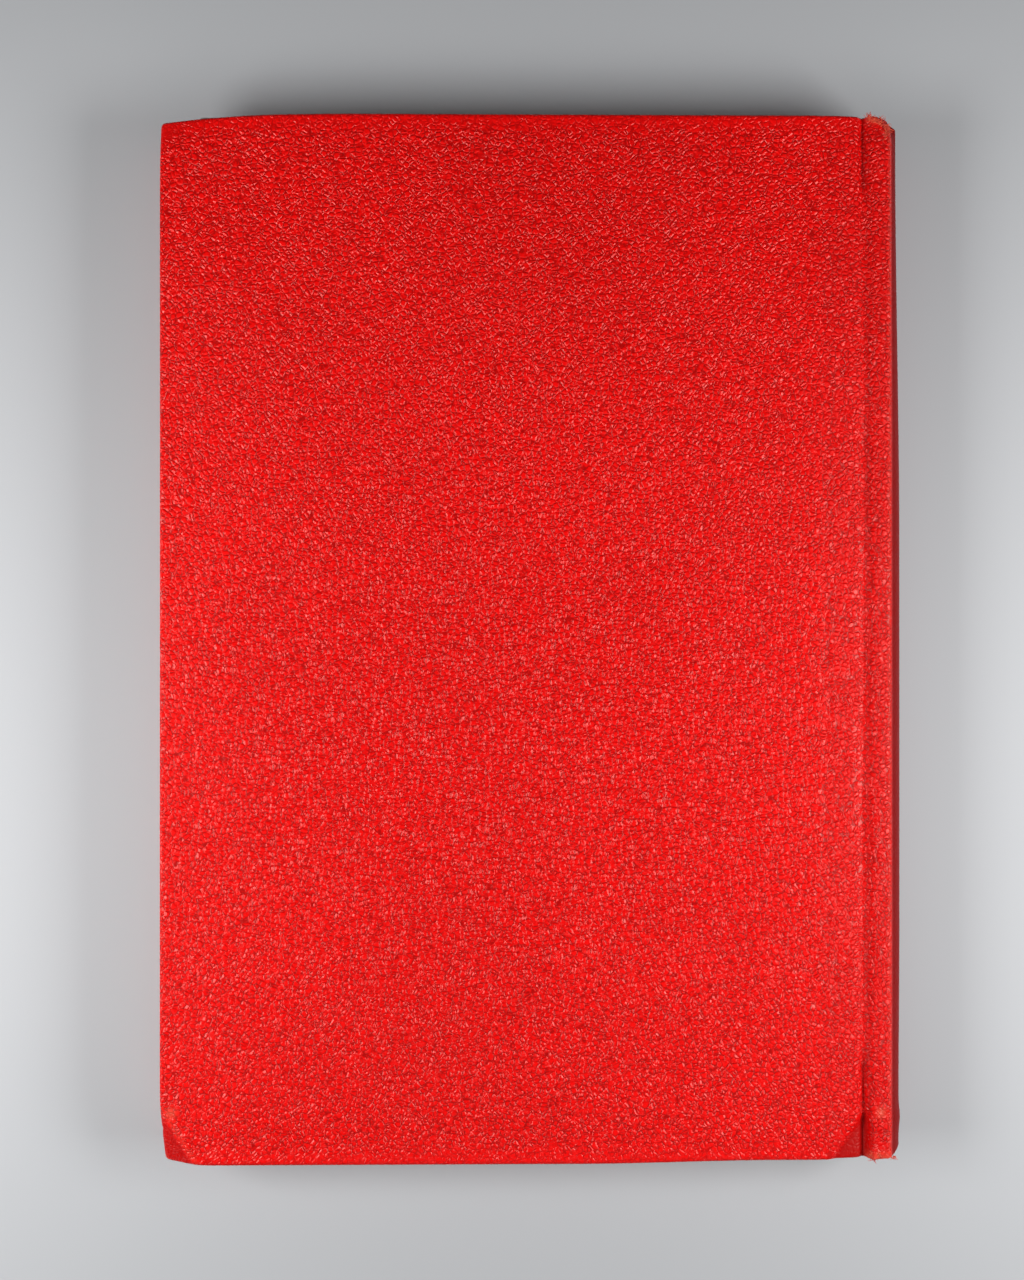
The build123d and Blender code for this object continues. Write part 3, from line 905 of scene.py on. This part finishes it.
def flat_sheet(name, low, high, material):
    """A sheet of paper filling the box between low and high, with its columns along X."""
    deselect()
    bpy.ops.mesh.primitive_grid_add(
        x_subdivisions=LEAF_COLUMNS, y_subdivisions=2, size=1, location=(low + high) / 2
    )
    sheet = bpy.context.object
    sheet.name = sheet.data.name = name
    sheet.scale = (high.x - low.x, high.y - low.y, 1)
    bpy.ops.object.transform_apply(location=True, rotation=True, scale=True)
    thicken(sheet, high.z - low.z, BOTH_WAYS)
    sheet.data.materials.append(material)
    return sheet


def bend_leaf(sheet):
    """Bakes a leaf's placement into its mesh."""
    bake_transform(sheet)


for cover in ("back", "front"):
    outward = 1 if cover == "back" else -1
    finish_node(f"{cover}_pastedown", endpaper)
    leaf_low, leaf_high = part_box(f"{cover}_flyleaf")
    leaf_high.x = PAPER_FOLD_X
    flyleaf = flat_sheet(f"{cover}_endleaf", leaf_low, leaf_high, endpaper)
    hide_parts(f"{cover}_flyleaf")
    bend_leaf(flyleaf)
    hinge_z = HINGE[2] if cover == "back" else FRONT_HINGE[2]

    def paper_place(u, v):
        x = joint_x + u * (PAPER_FOLD_X - joint_x)
        z = hinge_z + outward * (0.09 - 0.12 * u) * mm
        return x, (2 * v - 1) * HALF_PAGE, z

    paper = grid_formed(f"{cover}_joint_paper", 14, 3, paper_place)
    thicken(paper, JOINT_PAPER, BOTH_WAYS)
    paper.data.materials.append(endpaper)
    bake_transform(paper)

# ---- Pages ---------------------------------------------------------------------------
# Eight sections, each of six sheets folded together, faintly ruled. The back is rounded,
# so the fore-edge is hollow. The last section's upper leaves turn one by one.
RULE_PITCH = 7 * mm
BLOCK_RADIUS = 5.4 * mm
block_centre_x = spine_edge_x - 7.4 * mm
PAGE_WIDTH = 147.2 * mm
SECTIONS, SHEETS, TURNING_LEAVES = 8, 6, 6
SECTION_DEPTH = 1 * mm
SHEET_DEPTH = SECTION_DEPTH / (2 * SHEETS)
SHEET_THICKNESS = 0.072 * mm
PAPER_LIGHT, PAPER_DARK = (0.81, 0.77, 0.66, 1), (0.76, 0.71, 0.58, 1)
PAPER_FIBRES = 45  # per metre: broad clouds in the paper
RULE_COLOUR = (0.30, 0.38, 0.50, 1)
RULE_HALF_WIDTH, RULE_STRENGTH = 0.09 * mm, 0.55
RULE_MARGIN = 8 * mm
RULE_HALF_HEIGHT = 92 * mm
LEAF_ROOT_LAP = 0.1 * mm  # a leaf's sheet starts this far behind the line it turns about
random.seed(11)


def ruled_paper():
    made, nodes, links, shader = new_material("ruled_paper", 0.8)
    tree = made.node_tree
    place = nodes.new("ShaderNodeTexCoord").outputs["Object"]
    split = nodes.new("ShaderNodeSeparateXYZ")
    links.new(place, split.inputs["Vector"])
    turn = math_node(tree, "PINGPONG", split.outputs["Y"], RULE_PITCH / 2)
    line = math_node(tree, "LESS_THAN", turn, RULE_HALF_WIDTH)
    from_middle = math_node(tree, "ABSOLUTE", split.outputs["Y"])
    within = math_node(tree, "LESS_THAN", from_middle, RULE_HALF_HEIGHT)
    left = math_node(tree, "GREATER_THAN", split.outputs["X"], book_low.x + RULE_MARGIN)
    right = math_node(tree, "LESS_THAN", split.outputs["X"], crease_x - RULE_MARGIN)
    margins = math_node(tree, "MULTIPLY", left, right)
    shown = math_node(tree, "MULTIPLY", math_node(tree, "MULTIPLY", line, within), margins)
    fibre = fibrous(nodes, PAPER_FIBRES)
    paper = mix_colour(tree, fibre.outputs["Mask"], PAPER_DARK, PAPER_LIGHT)
    faint = math_node(tree, "MULTIPLY", shown, RULE_STRENGTH)
    links.new(mix_colour(tree, faint, paper, RULE_COLOUR), shader.inputs["Base Color"])
    return made


page_paper = ruled_paper()


def back_of_block(z):
    return block_centre_x + math.sqrt(BLOCK_RADIUS**2 - (z - middle_z) ** 2)


def folded_sheet(number, nest, low, high, upper_end):
    """One sheet of a section, from its fore-edge round the fold and back to upper_end."""
    span = high - low
    trim = random.uniform(-0.07, 0.07) * mm
    path = [(back_of_block(low) - PAGE_WIDTH + trim, low), (back_of_block(low) - 2 * mm, low)]
    for step in range(9):
        angle = math.pi * step / 8
        z = low + span * (1 - math.cos(angle)) / 2
        x = back_of_block(z) - nest - 0.7 * span * (1 - math.sin(angle))
        path.append((x, z))
    path.append((back_of_block(high) - 2 * mm, high))
    path.append((upper_end + trim, high))
    reach = HALF_PAGE + random.uniform(-0.06, 0.03) * mm

    def place(u, v):
        x, z = path[round(u * (len(path) - 1))]
        return x, (2 * v - 1) * reach, z

    sheet = grid_formed(f"sheet_{number}_{round(nest / mm * 100)}", len(path), 2, place)
    thicken(sheet, SHEET_THICKNESS, OUTWARD)
    return sheet


leaf_root_x = joint_place("leaf_1_turn")[0] + LEAF_ROOT_LAP
for number in range(1, SECTIONS + 1):
    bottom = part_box(f"section_{number}")[0].z
    sheets = []
    for nested in range(SHEETS):
        inset = nested * SHEET_DEPTH
        high = bottom + SECTION_DEPTH - inset
        upper_end = back_of_block(high) - PAGE_WIDTH if number < SECTIONS else leaf_root_x
        sheets.append(folded_sheet(number, inset, bottom + inset, high, upper_end))
    pick(*sheets)
    bpy.ops.object.join()
    section = bpy.context.object
    section.name = section.data.name = f"section_{number}_sheets"
    section.data.materials.clear()
    section.data.materials.append(page_paper)
    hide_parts(f"section_{number}")
    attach(section, "book_block")

for number in range(1, TURNING_LEAVES + 1):
    leaf_low, leaf_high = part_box(f"leaf_{number}")
    leaf_high.x = joint_place(f"leaf_{number}_turn")[0] + LEAF_ROOT_LAP
    leaf = flat_sheet(f"turning_leaf_{number}", leaf_low, leaf_high, page_paper)
    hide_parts(f"leaf_{number}")
    bend_leaf(leaf)

# ---- Sewing thread and headbands -----------------------------------------------------
# Waxed linen thread links the sections over their backs. The headbands are striped cord
# beads, glued on the ends of the block.
STRAND_PITCH = 0.3 * mm


def striped(name, first, second, axis, pitch):
    """Twisted thread in two colours that change along the axis."""
    made, nodes, links, shader = new_material(name, 0.7)
    tree = made.node_tree
    split = nodes.new("ShaderNodeSeparateXYZ")
    links.new(nodes.new("ShaderNodeTexCoord").outputs["Object"], split.inputs["Vector"])
    turns = math_node(tree, "MULTIPLY", split.outputs[axis], 2 * math.pi / pitch)
    stripe = ramp(tree, math_node(tree, "SINE", turns), -0.2, 0.2)
    links.new(mix_colour(tree, stripe, first, second), shader.inputs["Base Color"])
    turns = math_node(tree, "MULTIPLY", split.outputs[axis], 2 * math.pi / STRAND_PITCH)
    add_relief(nodes, links, math_node(tree, "SINE", turns), 0.04 * mm, shader)
    return made


LINEN_LIGHT, LINEN_DARK = (0.70, 0.64, 0.50, 1), (0.55, 0.48, 0.35, 1)
BAND_RED, BAND_CREAM = (0.55, 0.02, 0.02, 1), (0.80, 0.74, 0.60, 1)
linen = striped("linen_thread", LINEN_LIGHT, LINEN_DARK, "Z", 0.5 * mm)
finish_node("sewing_thread", linen)
headband_silk = striped("headband_silk", BAND_RED, BAND_CREAM, "Z", 1.3 * mm)
for end in ("head", "tail"):
    finish_node(f"headband_{end}", headband_silk)

# ---- Frayed threads ------------------------------------------------------------------
# The leather has worn through at the ends of the spine, and its backing's orange-red
# threads stick out there in short tufts.
FRAY_RADIUS = 0.10 * mm
STRAND_STEPS = 5
FRAY_LIGHT, FRAY_DARK = (0.80, 0.10, 0.04, 1), (0.55, 0.02, 0.01, 1)
fray_colour = mottled(
    "frayed_thread", FRAY_LIGHT, FRAY_DARK, scale=1500, roughness=0.75, relief=0.02 * mm
)


def tuft(name, strands):
    """Short tapering strands as one mesh; each strand is a list of points."""
    curve = bpy.data.curves.new(name, "CURVE")
    curve.dimensions = "3D"
    curve.bevel_depth = FRAY_RADIUS
    curve.bevel_resolution = 0
    curve.use_fill_caps = True
    for strand in strands:
        spline = curve.splines.new("POLY")
        spline.points.add(len(strand) - 1)
        for index, (point, place) in enumerate(zip(spline.points, strand)):
            point.co = (*place, 1)
            point.radius = 1 - 0.7 * index / (len(strand) - 1)
    made = bpy.data.objects.new(name, curve)
    scene.collection.objects.link(made)
    pick(made)
    bpy.ops.object.convert(target="MESH")
    made = bpy.context.object
    made.data.materials.clear()
    made.data.materials.append(fray_colour)
    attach(made, "book_block")


def strand(root, heading, length, lift):
    """Points of one strand that leaves its root at the heading and wanders."""
    points = []
    x, y, z = root
    for _ in range(STRAND_STEPS + 1):
        points.append((x, y, z))
        heading += random.uniform(-0.5, 0.5)
        x += length / STRAND_STEPS * math.cos(heading)
        y += length / STRAND_STEPS * math.sin(heading)
        z += lift * random.uniform(-0.3, 1.0) / STRAND_STEPS
    return points


shoulder_z = top_z - 0.45 * mm
head_strands = []
for _ in range(80):
    along = random.uniform(0, 1)
    x = crease_x + (0.4 + 4.6 * along) * mm
    y = half_height - (0.1 + 2.6 * along**2.5 + random.uniform(0, 0.9)) * mm
    root = (x, y, shoulder_z + 0.05 * mm)
    heading = math.radians(random.uniform(40, 130) - 60 * along)
    head_strands.append(strand(root, heading, random.uniform(0.6, 1.7) * mm, 0.5 * mm))
for _ in range(14):
    x = SHOULDER_X - random.uniform(0.2, 0.8) * mm
    y = half_height - random.uniform(2.5, 5.0) * mm
    heading = math.radians(random.uniform(60, 300))
    head_strands.append(strand((x, y, shoulder_z), heading, random.uniform(0.6, 1.4) * mm, 0.3 * mm))
tuft("head_fray", head_strands)
tail_strands = []
for _ in range(34):
    x = crease_x + (2.2 + random.gauss(0, 0.55)) * mm
    y = -half_height + random.uniform(0.4, 1.8) * mm
    heading = math.radians(random.uniform(200, 350))
    tail_strands.append(strand((x, y, shoulder_z), heading, random.uniform(0.7, 1.7) * mm, 0.5 * mm))
for _ in range(9):
    x = crease_x + random.uniform(5.6, 6.8) * mm
    y = -half_height + random.uniform(0.2, 0.6) * mm
    heading = math.radians(random.uniform(230, 300))
    tail_strands.append(strand((x, y, shoulder_z - 0.9 * mm), heading, 0.8 * mm, 0.3 * mm))
tuft("tail_fray", tail_strands)
